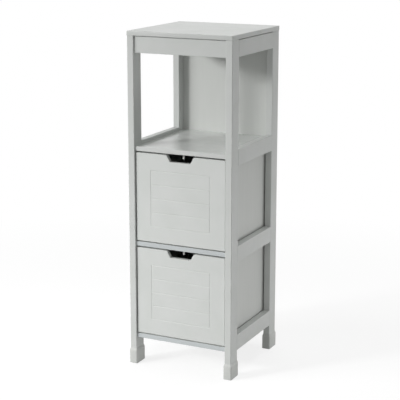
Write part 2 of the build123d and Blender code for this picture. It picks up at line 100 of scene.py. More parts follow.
def corners(node):
    """Lowest and highest corner of a CAD node, as arrays."""
    low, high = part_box(node)
    return np.array(low), np.array(high)


def number(name, description, value, **kind):
    """A number that can be set."""
    return bpy.props.FloatProperty(name=name, description=description, default=value, **kind)


def length(name, description, millimetres):
    """A length that can be set, given in millimetres and kept in metres."""
    return number(name, description, millimetres * MM, unit="LENGTH", precision=5)


def colour(name, description, code):
    """A colour that can be set, given as an sRGB hex value and kept linear."""
    return bpy.props.FloatVectorProperty(
        name=name, description=description, default=linear(code), subtype="COLOR", min=0.0, max=1.0)


class CabinetSizes(bpy.types.PropertyGroup):
    """Sizes of the forms that are made here; what they stand on is read from the frame."""
    cut_top: length("Cut-out width at the top", "Width of the finger cut-out at the front's edge", 78.0)
    cut_low: length("Cut-out width at the bottom", "Width of the finger cut-out's floor", 58.0)
    cut_depth: length("Cut-out depth", "Height of the finger cut-out", 17.5)
    cut_low_radius: length("Cut-out lower radius", "Rounding of the cut-out's lower corners", 3.0)
    cut_top_radius: length("Cut-out upper radius", "Rounding where the cut-out meets the edge", 2.0)
    front_edge: length("Front edge radius", "Rounding of a drawer front's edges", 0.8)
    groove_width: length("Groove width", "Width of a routed V groove under its lacquer", 2.2)
    groove_depth: length("Groove depth", "Depth of a routed V groove under its lacquer", 0.8)
    pattern_width: length("Pattern width", "Distance between the two upright grooves", 169.0)
    pattern_height: length("Pattern height", "Distance from the lowest to the highest groove", 148.0)
    pattern_drop: length("Pattern drop", "How far the pattern sits below the middle of a front", 1.0)
    strips: bpy.props.IntProperty(
        name="Strips", description="Strips between the level grooves", default=4, min=1)
    top_edge: length("Top edge radius", "Rounding of the top panel's edges", 1.5)
    top_corner: length("Top corner radius", "Rounding of the top panel's upright corners", 2.2)
    cap_wall: length("Foot cap wall", "Thickness of a foot cap's walls", 2.5)
    cap_floor: length("Foot cap sole", "Thickness of a foot cap's sole", 3.0)
    cap_slope: length("Foot cap slope", "Height of the sloped rim of a foot cap", 6.0)
    cap_lip: length("Foot cap lip", "Thickness left at the top of the sloped rim", 0.4)
    cap_corner: length("Foot cap corner", "Rounding of a foot cap's upright corners", 2.9)
    cap_sole_edge: length("Foot cap lower edge", "Rounding of a foot cap's lower edge", 0.9)
    peg_tip: length("Peg tip radius", "Rounding of a stop peg's lower end", 1.2)
    peg_chamfer: length("Peg chamfer", "Chamfer of a stop peg's upper end", 0.5)


def arc(middle, radius, start, end, steps=ARC_STEPS):
    """Points (a, b) of an arc: middle plus radius times the cosine and sine of start to end, in degrees."""
    angle = np.radians(np.linspace(start, end, steps + 1))
    return np.stack([middle[0] + radius * np.cos(angle), middle[1] + radius * np.sin(angle)], -1)


def grid_faces(rows, columns, closed=False):
    """Four-sided faces between the neighbours of a grid numbered row by row; closed joins its two sides."""
    row = np.arange(rows - 1)[:, None] * columns
    column = np.arange(columns if closed else columns - 1)[None, :]
    after = (column + 1) % columns
    faces = np.stack([row + column, row + after, row + columns + after, row + columns + column], -1)
    return faces.reshape(-1, 4)


def closed_rings(rings):
    """A closed shell from rings of points: faces from ring to ring and a fan to the middle of each end."""
    count, around, _ = rings.shape
    vertices = np.concatenate([rings.reshape(-1, 3), rings[:1].mean(1), rings[-1:].mean(1)])
    point = np.arange(around)
    after = (point + 1) % around
    last = (count - 1) * around
    first_fan = np.stack([after, point, np.full(around, count * around)], -1)
    last_fan = np.stack([last + point, last + after, np.full(around, count * around + 1)], -1)
    sides = grid_faces(count, around, closed=True)
    return vertices, sides.tolist() + first_fan.tolist() + last_fan.tolist()


def carried_round(low, high, radius, profile):
    """Rings of a profile carried round a box's rounded rectangle: each point of the outline moves out
    along its normal by the profile's first value and stands at the profile's second, its height."""
    quarter = np.repeat(np.arange(4), ARC_STEPS + 1)
    angle = quarter * math.pi / 2 + np.tile(np.linspace(0, math.pi / 2, ARC_STEPS + 1), 4)
    normal = np.stack([np.cos(angle), np.sin(angle)], -1)
    sign = np.array([(1, 1), (-1, 1), (-1, -1), (1, -1)])[quarter]
    centre = (low + high)[:2] / 2 + sign * ((high - low)[:2] / 2 - radius)
    flat = centre[None] + (radius + profile[:, 0])[:, None, None] * normal[None]
    height = np.broadcast_to(profile[:, 1][:, None, None], flat.shape[:2] + (1,))
    return np.concatenate([flat, height], -1)


def turned(profile, around, sink=None):
    """Rings of a profile (radius, height) turned about Z; sink gives a depth to take off at x and y."""
    angle = np.linspace(0, 2 * math.pi, around, endpoint=False)
    x = profile[:, 0][:, None] * np.cos(angle)
    y = profile[:, 0][:, None] * np.sin(angle)
    z = np.broadcast_to(profile[:, 1][:, None], x.shape)
    if sink is not None:
        z = z - sink(x, y)
    return np.stack([x, y, z], -1)


def stood(vertices, origin, axis, along):
    """Local points stood in the cabinet: local Z runs along axis and local X along the second direction."""
    axis = np.array(axis, float)
    along = np.array(along, float)
    return np.array(origin) + vertices @ np.stack([along, np.cross(axis, along), axis])


def joined(shells):
    """Several shells (vertices, faces) as one."""
    vertices = []
    faces = []
    start = 0
    for points, quads in shells:
        vertices.append(points)
        faces += [[index + start for index in quad] for quad in quads]
        start += len(points)
    return np.concatenate(vertices), faces


def make_piece(node, ending, shell, body, finish, sharp=50.0):
    """A piece that stands for a CAD node and rides on its body: a closed shell with its faces turned
    outwards, named for the node with an ending. Edges that turn by more than the sharp angle, in
    degrees, stay crisp in its smooth shading."""
    vertices, faces = shell
    name = f"{node}_{ending}"
    mesh = bpy.data.meshes.new(name)
    mesh.from_pydata(vertices.tolist(), [], faces)
    work = bmesh.new()
    work.from_mesh(mesh)
    bmesh.ops.recalc_face_normals(work, faces=work.faces)
    work.to_mesh(mesh)
    work.free()
    mesh.shade_smooth()
    mesh.set_sharp_from_angle(angle=math.radians(sharp))
    mesh.materials.append(finish_named(finish))
    piece = bpy.data.objects.new(name, mesh)
    bpy.context.scene.collection.objects.link(piece)
    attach(piece, body)
    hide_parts(node)


class CabinetFinish(bpy.types.PropertyGroup):
    """Colours of the finishes."""
    lacquer: colour("Lacquer", "Sprayed lacquer on boards and frame", "#CCCECC")
    lacquer_deep: colour("Lacquer, deep", "The same where it lies a little thicker", "#C7CAC7")
    front: colour("Lacquer on fronts", "The same lacquer on the drawer fronts, one coat more", "#D2D4D2")
    front_deep: colour("Lacquer on fronts, deep", "The same where it lies a little thicker", "#CDD0CD")
    board: colour("Lacquer on boards", "The smoother lacquer on the faces of the boards", "#DEE0DE")
    board_deep: colour("Lacquer on boards, deep", "The same where it lies a little thicker", "#D9DCD9")
    # Painted reflection: the cool, bluish tint that light gives the divider's and bottom board's front
    # edges, painted as their colour
    edge: colour("Lacquer on edges", "Lacquer on the sealed front edges of the boards", "#C0C5C6")
    sheet: colour("Sheet lacquer", "Rolled lacquer on the thin hardboard sheets", "#D0D2CF")
    sheet_deep: colour("Sheet lacquer, deep", "The same where the roller left more", "#CED0CD")
    cap: colour("Foot cap", "Moulded plastic of the foot caps", "#CCCECB")
    # Painted shade: a darker copy of the cap plastic that goes into the hollows of its grain
    cap_painted_hollow_shade: colour("Foot cap, deep", "The same plastic in the hollows of its texture", "#C7C9C6")
    peg: colour("Peg", "Moulded plastic of the stop pegs", "#D6D7D4")
    peg_deep: colour("Peg, deep", "The same plastic in its flow marks", "#CFD0CD")
    beech: colour("Beech", "Early wood of the dowels", "#D9B98E")
    beech_deep: colour("Beech, deep", "Late wood of the dowels", "#BC9464")
    zinc: colour("Zinc", "Die-cast zinc of the cam locks", "#B9B9B4")
    zinc_deep: colour("Zinc, deep", "The same where it has dulled", "#9C9C97")
    plating: colour("Plating", "Bright zinc plating on bolts and screws", "#D3D3CD")
    plating_deep: colour("Plating, deep", "The same plating in its passivated patches", "#BEBBAA")


def add(tree, kind, inputs=None, **settings):
    """Adds one node: settings are its own options, inputs are values or other nodes' sockets by name."""
    node = tree.nodes.new(kind)
    for option, value in settings.items():
        setattr(node, option, value)
    for name, value in (inputs or {}).items():
        socket = node.inputs[name]
        if isinstance(value, bpy.types.NodeSocket):
            tree.links.new(value, socket)
        else:
            socket.default_value = value
    return node


def opaque(rgb):
    """A colour with full alpha, as sockets take it."""
    return (*rgb[:3], 1.0)


def new_material(name, surface, settings):
    """A material. Its surface is a function that adds the nodes of its shader, from the settings' colours
    and the tree's Texture Coordinate node, and gives back the last of them."""
    material = bpy.data.materials.new(name)
    material.use_nodes = True
    tree = material.node_tree
    tree.nodes.clear()
    place = add(tree, "ShaderNodeTexCoord")
    output = add(tree, "ShaderNodeOutputMaterial")
    tree.links.new(surface(tree, place, settings).outputs[0], output.inputs["Surface"])
    return material


def noise(tree, place, size_mm, detail=2.0, stretch=(1.0, 1.0, 1.0)):
    """Soft noise whose blobs are about size_mm across; stretch makes them longer along an axis."""
    scale = tuple(1 / (size_mm * MM * factor) for factor in stretch)
    spread = add(tree, "ShaderNodeMapping", {"Vector": place.outputs["Object"], "Scale": scale})
    return add(tree, "ShaderNodeTexNoise", {
        "Vector": spread.outputs["Vector"], "Scale": 1.0, "Detail": detail}).outputs["Fac"]


def between(tree, factor, low, high):
    """A number that goes from low to high as a noise goes from 0.3 to 0.7, where most of it lies."""
    span = {"Value": factor, "From Min": 0.3, "From Max": 0.7, "To Min": low, "To Max": high}
    return add(tree, "ShaderNodeMapRange", span).outputs["Result"]


def blended(tree, factor, first, second):
    """A colour that goes from the first to the second as a noise goes through the middle of its range."""
    inputs = {"Factor": between(tree, factor, 0.0, 1.0)}
    mix = add(tree, "ShaderNodeMix", inputs, data_type="RGBA")
    mix.inputs[MIX_FIRST].default_value = opaque(first)
    mix.inputs[MIX_SECOND].default_value = opaque(second)
    return mix.outputs[MIX_RESULT]


def satin_lacquer(tree, place, light, deep):
    """Water-based satin lacquer sprayed on MDF: even colour, a faint cloudiness and a soft orange peel
    that breaks up long reflections. The peel is drawn a little coarser than its real 1 mm to show."""
    cloud = noise(tree, place, 70.0, 3.0)
    peel = noise(tree, place, 2.2, 2.0)
    ripple = noise(tree, place, 18.0, 2.0)
    relief = add(tree, "ShaderNodeMath", {0: peel, 1: 0.35}, operation="MULTIPLY").outputs["Value"]
    waves = add(tree, "ShaderNodeMath", {0: ripple, 1: relief}, operation="ADD").outputs["Value"]
    bump = add(tree, "ShaderNodeBump", {"Strength": 0.25, "Distance": 0.0001, "Height": waves})
    return add(tree, "ShaderNodeBsdfPrincipled", {
        "Base Color": blended(tree, cloud, light, deep),
        "Roughness": between(tree, ripple, 0.36, 0.44),
        "Normal": bump.outputs["Normal"], "IOR": 1.47, "Specular IOR Level": 0.45})


def sprayed_lacquer(tree, place, finish):
    """The satin lacquer of the frame, the top and the drawer boxes."""
    return satin_lacquer(tree, place, finish.lacquer, finish.lacquer_deep)


def front_lacquer(tree, place, finish):
    """The satin lacquer of the drawer fronts, a shade paler for its extra coat."""
    return satin_lacquer(tree, place, finish.front, finish.front_deep)


def smooth_lacquer(tree, place, finish, edge):
    """The same lacquer on the three level boards: smoother on their flat faces, so things mirror faintly in
    them, and with another colour on the faces that look forward: on the shelf the frame's own tone, on the
    divider and bottom board a cool painted reflection."""
    cloud = noise(tree, place, 70.0, 3.0)
    ripple = noise(tree, place, 24.0, 2.0)
    facing = add(tree, "ShaderNodeSeparateXYZ", {"Vector": place.outputs["Normal"]})
    # Faces that look forward take the edge colour; on the divider and bottom board that colour is a painted
    # reflection
    front = add(tree, "ShaderNodeMath", {0: facing.outputs["Y"], 1: -0.6}, operation="LESS_THAN")
    face = blended(tree, cloud, finish.board, finish.board_deep)
    face_edge_tone_and_painted_reflection = add(tree, "ShaderNodeMix", {"Factor": front.outputs["Value"]}, data_type="RGBA")
    tree.links.new(face, face_edge_tone_and_painted_reflection.inputs[MIX_FIRST])
    face_edge_tone_and_painted_reflection.inputs[MIX_SECOND].default_value = opaque(edge)
    bump = add(tree, "ShaderNodeBump", {"Strength": 0.12, "Distance": 0.00005, "Height": ripple})
    return add(tree, "ShaderNodeBsdfPrincipled", {
        "Base Color": face_edge_tone_and_painted_reflection.outputs[MIX_RESULT],
        "Roughness": between(tree, ripple, 0.2, 0.27),
        "Normal": bump.outputs["Normal"], "IOR": 1.47, "Specular IOR Level": 0.5})


def shelf_lacquer(tree, place, finish):
    """The boards' lacquer on the open shelf, whose front edge has the frame's own tone."""
    return smooth_lacquer(tree, place, finish, finish.lacquer)


def board_lacquer(tree, place, finish):
    """The boards' lacquer under each drawer, with a cooler, bluish painted reflection on the front edge."""
    return smooth_lacquer(tree, place, finish, finish.edge)


def rolled_lacquer(tree, place, finish):
    """Lacquer rolled on 3 mm hardboard: matter than the sprayed boards, with faint upright roller tracks
    and the slight waviness of a thin sheet."""
    tracks = noise(tree, place, 9.0, 3.0, (1.0, 1.0, 14.0))
    waves = noise(tree, place, 90.0, 1.0)
    bump = add(tree, "ShaderNodeBump", {"Strength": 0.2, "Distance": 0.0001, "Height": waves})
    fine = add(tree, "ShaderNodeBump", {
        "Strength": 0.2, "Distance": 0.00002, "Height": tracks, "Normal": bump.outputs["Normal"]})
    return add(tree, "ShaderNodeBsdfPrincipled", {
        "Base Color": blended(tree, tracks, finish.sheet, finish.sheet_deep),
        "Roughness": between(tree, tracks, 0.46, 0.54),
        "Normal": fine.outputs["Normal"], "IOR": 1.47, "Specular IOR Level": 0.4})


def moulded_plastic(tree, place, finish):
    """Injection-moulded polypropylene with a spark-eroded texture: dull, with a fine even grain whose
    hollows carry painted shade, a slightly darker colour. The grain is drawn at 1 mm, coarser than the real
    0.2 mm, so that it shows."""
    grain = noise(tree, place, 1.0, 2.0)
    flow = noise(tree, place, 22.0, 1.0)
    bump = add(tree, "ShaderNodeBump", {"Strength": 0.35, "Distance": 0.00008, "Height": grain})
    return add(tree, "ShaderNodeBsdfPrincipled", {
        # The grain's low points take the darker colour: painted shade in the hollows
        "Base Color": blended(tree, grain, finish.cap_painted_hollow_shade, finish.cap),
        "Roughness": between(tree, flow, 0.5, 0.6),
        "Normal": bump.outputs["Normal"], "IOR": 1.49, "Specular IOR Level": 0.4})


def peg_plastic(tree, place, finish):
    """Polished nylon of the stop pegs: smooth, slightly milky, with a faint flow mark along it."""
    flow = noise(tree, place, 3.0, 1.0, (1.0, 1.0, 5.0))
    return add(tree, "ShaderNodeBsdfPrincipled", {
        "Base Color": blended(tree, flow, finish.peg, finish.peg_deep),
        "Roughness": between(tree, flow, 0.3, 0.38), "IOR": 1.53, "Subsurface Weight": 0.08,
        "Subsurface Scale": 0.001, "Subsurface Radius": (1.0, 0.95, 0.9)})


def beech(tree, place, finish):
    """Bare turned beech of the dowels: pale pink-brown, with short dark flecks along the grain."""
    grain = noise(tree, place, 0.6, 4.0, (12.0, 1.0, 1.0))
    bump = add(tree, "ShaderNodeBump", {"Strength": 0.4, "Distance": 0.00005, "Height": grain})
    return add(tree, "ShaderNodeBsdfPrincipled", {
        "Base Color": blended(tree, grain, finish.beech, finish.beech_deep),
        "Roughness": between(tree, grain, 0.55, 0.7), "Normal": bump.outputs["Normal"], "IOR": 1.5})


def cast_zinc(tree, place, finish):
    """Tumbled zinc die casting of the cam locks: dull grey metal with a fine pebbled skin."""
    pebbles = noise(tree, place, 0.5, 3.0)
    patches = noise(tree, place, 4.0, 2.0)
    bump = add(tree, "ShaderNodeBump", {"Strength": 0.4, "Distance": 0.00005, "Height": pebbles})
    return add(tree, "ShaderNodeBsdfPrincipled", {
        "Base Color": blended(tree, patches, finish.zinc, finish.zinc_deep), "Metallic": 1.0,
        "Roughness": between(tree, pebbles, 0.38, 0.52), "Normal": bump.outputs["Normal"]})


def zinc_plating(tree, place, finish):
    """Bright zinc plating on steel bolts and screws: a sharper shine with faint warm patches."""
    patches = noise(tree, place, 2.0, 2.0)
    turning = noise(tree, place, 0.3, 1.0)
    bump = add(tree, "ShaderNodeBump", {"Strength": 0.2, "Distance": 0.00002, "Height": turning})
    return add(tree, "ShaderNodeBsdfPrincipled", {
        "Base Color": blended(tree, patches, finish.plating, finish.plating_deep), "Metallic": 1.0,
        "Roughness": between(tree, patches, 0.22, 0.32), "Normal": bump.outputs["Normal"]})


FINISHES = {
    "sprayed": ("sprayed_lacquer_on_mdf", sprayed_lacquer),
    "front": ("sprayed_lacquer_on_fronts", front_lacquer),
    "shelf": ("sprayed_lacquer_on_shelf", shelf_lacquer),
    "board": ("sprayed_lacquer_on_boards", board_lacquer),
    "sheet": ("rolled_lacquer_on_hardboard", rolled_lacquer),
    "cap": ("textured_polypropylene", moulded_plastic),
    "peg": ("moulded_nylon", peg_plastic),
    "beech": ("turned_beech", beech),
    "zinc": ("tumbled_zinc_casting", cast_zinc),
    "plating": ("bright_zinc_plating", zinc_plating),
}
made_finishes = {}


def finish_named(name):
    """The material of that finish, made the first time that it is asked for."""
    if name not in made_finishes:
        label, surface = FINISHES[name]
        made_finishes[name] = new_material(label, surface, bpy.context.scene.cabinet_finish)
    return made_finishes[name]


def finish_of(node):
    """The finish of a CAD node, by what the node is."""
    if node.startswith("foot_cap"):
        return "cap"
    if node.startswith("stop_peg"):
        return "peg"
    if node.endswith("dowels"):
        return "beech"
    if node.endswith("cam_locks"):
        return "zinc"
    if node.endswith(("bolts", "screws")):
        return "plating"
    if node.endswith("_drawer_front"):
        return "front"
    if node == "shelf_board":
        return "shelf"
    if node.endswith("_board"):
        return "board"
    if node == "back_panel" or node.startswith("side_panel") or node.endswith("drawer_bottom"):
        return "sheet"
    return "sprayed"


class CABINET_OT_finish_nodes(bpy.types.Operator):
    """Give every CAD node the material of its real surface"""
    bl_idname = "cabinet.finish_nodes"
    bl_label = "Finish the frame, boards and sheets"

    def execute(self, context):
        for name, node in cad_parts.items():
            material = finish_named(finish_of(name))
            node.data.materials.clear()
            node.data.materials.append(material)
        return {"FINISHED"}


class CABINET_OT_top_panel(bpy.types.Operator):
    """Make the top panel with its rounded edges"""
    bl_idname = "cabinet.top_panel"
    bl_label = "Make the top panel"

    def execute(self, context):
        sizes = context.scene.cabinet_sizes
        low, high = corners("top_panel")
        edge = sizes.top_edge
        flat = edge + GUARD
        profile = np.concatenate([
            [(-flat, low[2])],
            arc((-edge, low[2] + edge), edge, -90, 0),
            arc((-edge, high[2] - edge), edge, 0, 90),
            [(-flat, high[2])],
        ])
        rings = carried_round(low, high, sizes.top_corner, profile)
        make_piece("top_panel", "rounded", closed_rings(rings), FRAME_BODY, "sprayed",
                   sharp=60.0)
        return {"FINISHED"}


def segment_distance(x, z, start, end):
    """Distance of each point from a segment: to its nearest point, found by a clipped projection."""
    step = np.array(end) - np.array(start)
    share = ((x - start[0]) * step[0] + (z - start[1]) * step[1]) / (step @ step)
    share = np.clip(share, 0, 1)
    return np.hypot(x - start[0] - share * step[0], z - start[1] - share * step[1])


def cut_outline(sizes, high):
    """The right half of the cut-out's outline, from the middle of its floor to the front's upper edge:
    a floor, a round corner, a slope, a rounded shoulder and the edge. Points (x, z)."""
    half_low = sizes.cut_low / 2
    half_top = sizes.cut_top / 2
    floor = high - sizes.cut_depth
    slope = math.degrees(math.atan2(sizes.cut_depth, half_top - half_low))
    low_radius = sizes.cut_low_radius
    top_radius = sizes.cut_top_radius
    bend = math.tan(math.radians(slope / 2))
    low_middle = (half_low - low_radius * bend, floor + low_radius)
    top_middle = (half_top + top_radius * bend, high - top_radius)
    return np.concatenate([
        [(0.0, floor)],
        arc(low_middle, low_radius, -90, slope - 90),
        arc(top_middle, top_radius, slope + 90, 90),
    ])


def near(places, offsets):
    """Every place, with every offset on both sides of it; the first offset is zero."""
    both = np.concatenate([-offsets[:0:-1], offsets])
    return (np.array(places)[:, None] + both[None, :]).ravel()


def parted(start, end, count):
    """Places that part a run into equal shares, without its ends."""
    return np.linspace(start, end, count + 2)[1:-1]


def front_columns(sizes, outline, half_x, rim, lines):
    """Where the columns of a front's grid stand: at the points of the cut-out's outline, in and beside
    the upright grooves and on the rounded edges, with a few between."""
    half_w = sizes.pattern_width / 2
    ends = [1, ARC_STEPS + 1, ARC_STEPS + 2, -1]
    corner_start, corner_end, shoulder_start, shoulder_end = outline[ends, 0]
    right = np.concatenate([
        outline[:, 0],
        parted(0, corner_start, 3),
        parted(corner_end, shoulder_start, 5),
        parted(shoulder_end, half_w, 2),
        near([half_w], lines),
        parted(half_w, half_x, 1),
        half_x - rim,
    ])
    right = np.unique(np.round(right, 7))
    return np.concatenate([-right[:0:-1], right])


def groove_fall(sizes, distance):
    """How deep a groove is at a distance from its middle line: a slope s that falls from 1 to 0 at the
    lip, softened there as half of s plus the root of s squared plus a little."""
    half = sizes.groove_width / 2
    slope = 1 - distance / half
    fall = (slope + np.sqrt(slope ** 2 + GROOVE_SOFT ** 2)) / 2 - GROOVE_SOFT ** 2 / 4
    depth = sizes.groove_depth * np.clip(fall, 0, GROOVE_KEPT)
    return np.where(distance > GROOVE_END * half, 0, depth)


def front_face(sizes, low, high, grooved):
    """One face of a drawer front as a height field over its outline: how far each grid point stands back
    from the face's plane. Near the outline it falls back as a quarter circle, and in a groove as a V
    whose lip and bottom are softened by lacquer. Columns run across, rows run up to the outline."""
    edge = sizes.front_edge
    half_x = high[0]
    half_w = sizes.pattern_width / 2
    bottom = (low[2] + high[2] - sizes.pattern_height) / 2 - sizes.pattern_drop
    levels = bottom + np.linspace(0, sizes.pattern_height, sizes.strips + 1)
    lines = GROOVE_LINES * sizes.groove_width
    rim = edge * (1 - np.cos(np.linspace(0, math.pi / 2, ARC_STEPS + 1)))
    rim = np.append(rim, edge + FRONT_GUARD)
    outline = cut_outline(sizes, high[2])

    columns = front_columns(sizes, outline, half_x, rim, lines)
    top = np.interp(np.abs(columns), outline[:, 0], outline[:, 1], right=high[2])
    band = high[2] - sizes.cut_depth - CUT_MARGIN
    rows = np.concatenate([low[2] + rim, near(levels, lines), (levels[:-1] + levels[1:]) / 2, [band]])
    rows = np.unique(np.round(rows[rows <= band], 7))
    below = np.broadcast_to(rows[:, None], (len(rows), len(columns)))
    middle = band + parted(0, 1, 4)[:, None] * (top - band - rim[-1])[None, :]
    last = top[None, :] - rim[::-1][:, None]
    z = np.concatenate([below, middle, last])
    x = np.broadcast_to(columns[None, :], z.shape)

    path = np.concatenate([
        outline, [(half_x, high[2]), (half_x, low[2]), (-half_x, low[2]), (-half_x, high[2])],
        outline[::-1] * (-1, 1)])
    gap = np.min([segment_distance(x, z, start, end)
                  for start, end in zip(path[:-1], path[1:]) if np.any(start != end)], axis=0)
    inside = np.clip(edge - gap, 0, edge)
    back = edge - np.sqrt(np.maximum(edge ** 2 - inside ** 2, 0))
    if grooved:
        strokes = [((-half_w, level), (half_w, level)) for level in levels]
        strokes += [((side * half_w, levels[0]), (side * half_w, levels[-1])) for side in (-1, 1)]
        distance = np.min([segment_distance(x, z, start, end) for start, end in strokes], axis=0)
        back = back + groove_fall(sizes, distance)
    return x, z, back


def drawer_front_shell(sizes, low, high):
    """A closed board: the grooved front face, the plain rear face and the wall between their borders."""
    x, z, front = front_face(sizes, low, high, True)
    rear = front_face(sizes, low, high, False)[2]
    rows, columns = x.shape
    near_side = np.stack([x, low[1] + front, z], -1).reshape(-1, 3)
    far_side = np.stack([x, high[1] - rear, z], -1).reshape(-1, 3)
    index = np.arange(rows * columns).reshape(rows, columns)
    border = np.concatenate([index[0, :-1], index[:-1, -1], index[-1, :0:-1], index[:0:-1, 0]])
    after = np.roll(border, -1)
    far = rows * columns
    wall = np.stack([border, after, after + far, border + far], -1)
    faces = grid_faces(rows, columns)
    return (np.concatenate([near_side, far_side]),
            faces.tolist() + (faces + far)[:, ::-1].tolist() + wall.tolist())


class CABINET_OT_drawer_fronts(bpy.types.Operator):
    """Make the drawer fronts with their finger cut-outs and routed grooves"""
    bl_idname = "cabinet.drawer_fronts"
    bl_label = "Make the drawer fronts"

    def execute(self, context):
        sizes = context.scene.cabinet_sizes
        for which in DRAWERS:
            node = f"{which}_drawer_front"
            low, high = corners(node)
            shell = drawer_front_shell(sizes, low, high)
            make_piece(node, "routed", shell, f"{which}_drawer", "front")
        return {"FINISHED"}


# Steps out and up from a foot cap's shoulder, where its wall bends into the slope, and from its lip
CAP_BREAK = np.array([(0, -1.2), (0, -0.5), (-0.06, 0), (-0.25, 0.6)]) * MM
CAP_LIP_ROUND = np.array([(0.1, -0.4), (0, -0.1), (-0.1, 0)]) * MM


class CABINET_OT_foot_caps(bpy.types.Operator):
    """Make the four moulded foot caps"""
    bl_idname = "cabinet.foot_caps"
    bl_label = "Make the foot caps"

    def execute(self, context):
        sizes = context.scene.cabinet_sizes
        edge = sizes.cap_sole_edge
        for end in ENDS:
            for side in SIDES:
                node = f"foot_cap_{end}_{side}"
                low, high = corners(node)
                shoulder = (0, high[2] - sizes.cap_slope)
                lip = (-sizes.cap_wall + sizes.cap_lip, high[2])
                profile = np.concatenate([
                    [(-edge - GUARD, low[2])],
                    arc((-edge, low[2] + edge), edge, -90, 0),
                    shoulder + CAP_BREAK,
                    lip + CAP_LIP_ROUND,
                    [(-sizes.cap_wall, high[2])],
                    [(-sizes.cap_wall, low[2] + sizes.cap_floor)],
                ])
                rings = carried_round(low, high, sizes.cap_corner, profile)
                make_piece(node, "moulded", closed_rings(rings), FRAME_BODY, "cap")
        return {"FINISHED"}


class CABINET_OT_stop_pegs(bpy.types.Operator):
    """Make the round stop pegs"""
    bl_idname = "cabinet.stop_pegs"
    bl_label = "Make the stop pegs"

    def execute(self, context):
        sizes = context.scene.cabinet_sizes
        for which in DRAWERS:
            node = f"stop_peg_{which}"
            low, high = corners(node)
            middle = (low + high) / 2
            radius = (high[0] - low[0]) / 2
            tip = sizes.peg_tip
            chamfer = sizes.peg_chamfer
            profile = np.concatenate([
                arc((radius - tip, low[2] + tip), tip, -90, 0),
                [(radius, high[2] - chamfer), (radius - chamfer, high[2])],
            ])
            rings = turned(profile, PEG_SIDES) + (middle[0], middle[1], 0)
            make_piece(node, "turned", closed_rings(rings), FRAME_BODY, "peg")
        return {"FINISHED"}


class FittingSizes(bpy.types.PropertyGroup):
    """Sizes and places of the cam locks and screws."""
    cam_rim: length("Cam rim radius", "Radius of a cam lock's rim, a little over its hole", 6.4)
    cam_proud: length("Cam rim height", "How far a cam lock's rim stands proud", 0.3)
    cam_body: length("Cam body radius", "Radius of a cam lock below its rim", 5.7)
    cam_head: length("Cam head depth", "Thickness of a cam lock's head", 3.0)
    cam_depth: length("Cam depth", "Full depth of a cam lock", 9.5)
    cam_bore: length("Cam bore radius", "Radius of the hollow that takes the bolt's head", 3.6)
    cam_reach: length("Cam reach", "From a board's end to the middle of its cam lock", 24.0)
    cam_cross: length("Cam cross length", "Length of the cross in a cam lock", 7.0)
    cam_cross_width: length("Cam cross width", "Width of the cross in a cam lock", 1.5)
    cam_cross_depth: length("Cam cross depth", "Depth of the cross in a cam lock", 1.6)
    board_cam_y: length("Board cams", "From the middle to the boards' front and back cam locks", 75.0)
    top_cam_y: length("Top cams", "From the middle to the top's front and back cam locks", 70.0)
    apron_cam_up: length("Apron cams", "Cam locks of the apron, above its lower edge", 13.0)
    drawer_cam_low: length("Lower drawer cams", "Above a drawer side's lower edge", 60.0)
    drawer_cam_high: length("Upper drawer cams", "Above a drawer side's lower edge", 175.0)
    screw_low: length("Lower back screws", "Above a drawer back's lower edge", 45.0)
    screw_high: length("Upper back screws", "Above a drawer back's lower edge", 190.0)
    sheet_screw_x: length("Sheet screws", "From the middle to the back sheet's screws", 70.0)
    pan_radius: length("Pan head radius", "Radius of a pan-head screw's head", 3.0)
    pan_height: length("Pan head height", "Height of a pan-head screw's head", 2.0)
    pan_shank: length("Pan-head shank radius", "Radius of a pan-head screw's shank", 1.4)
    pan_length: length("Pan-head screw length", "Length of a pan-head screw below its head", 16.0)
    pan_point: length("Pan-head screw point", "Length of a pan-head screw's point", 3.0)
    sunk_radius: length("Countersunk head radius", "Radius of a countersunk screw's head", 3.3)
    sunk_shank: length("Countersunk shank radius", "Radius of a countersunk screw's shank", 1.6)
    sunk_length: length("Countersunk screw length", "Full length of a countersunk screw", 30.0)
    sunk_point: length("Countersunk screw point", "Length of a countersunk screw's point", 4.0)
    point_radius: length("Screw point radius", "Radius that is left at the tip of a screw", 0.2)
    screw_cross: length("Screw cross length", "Length of the cross in a screw's head", 3.4)
    screw_cross_width: length("Screw cross width", "Width of the cross in a screw's head", 0.9)
    screw_cross_depth: length("Screw cross depth", "Depth of the cross in a screw's head", 1.3)


# The width over which the walls of a driver's cross slope, the radius at which a head's rings end, and
# the chamfer of its rim
CROSS_SLOPE = 0.25 * MM
HEAD_MIDDLE = 0.25 * MM
RIM_CHAMFER = 0.1 * MM


def cross(size, width, depth):
    """A driver's cross as a depth over x and y: inside either arm it is deep, with sloping walls, so that
    the depth is a product of two clipped ramps."""

    def sink(x, y):
        across = np.minimum(np.abs(x), np.abs(y))
        along = np.maximum(np.abs(x), np.abs(y))
        in_arm = np.clip((width / 2 - across) / CROSS_SLOPE + 0.5, 0, 1)
        in_reach = np.clip((size / 2 - along) / CROSS_SLOPE + 0.5, 0, 1)
        return depth * in_arm * in_reach

    return sink


def headed(side, rim, flat, sink):
    """A closed shell: a side's profile turned about Z, closed by a flat face from a rim's radius to near
    the middle, with a cross sunk in it."""
    radii = np.linspace(rim, HEAD_MIDDLE, HEAD_RINGS)
    face = turned(np.stack([radii, np.full(HEAD_RINGS, flat)], -1), HEAD_SIDES, sink)
    return closed_rings(np.concatenate([turned(side, HEAD_SIDES), face]))


def bent_bar(inner, outer, low, high, start, end):
    """A square bar bent round Z: its four corners carried from start to end, in degrees, with flat ends."""
    angle = np.radians(np.linspace(start, end, BAR_STEPS + 1))
    radius = np.array([inner, outer, outer, inner])
    height = np.array([low, low, high, high])
    rings = np.stack([
        np.cos(angle)[:, None] * radius,
        np.sin(angle)[:, None] * radius,
        np.broadcast_to(height, (BAR_STEPS + 1, 4)),
    ], -1)
    return closed_rings(rings)


# How wide a cam lock is open for its bolt, in degrees
CAM_MOUTH = 100


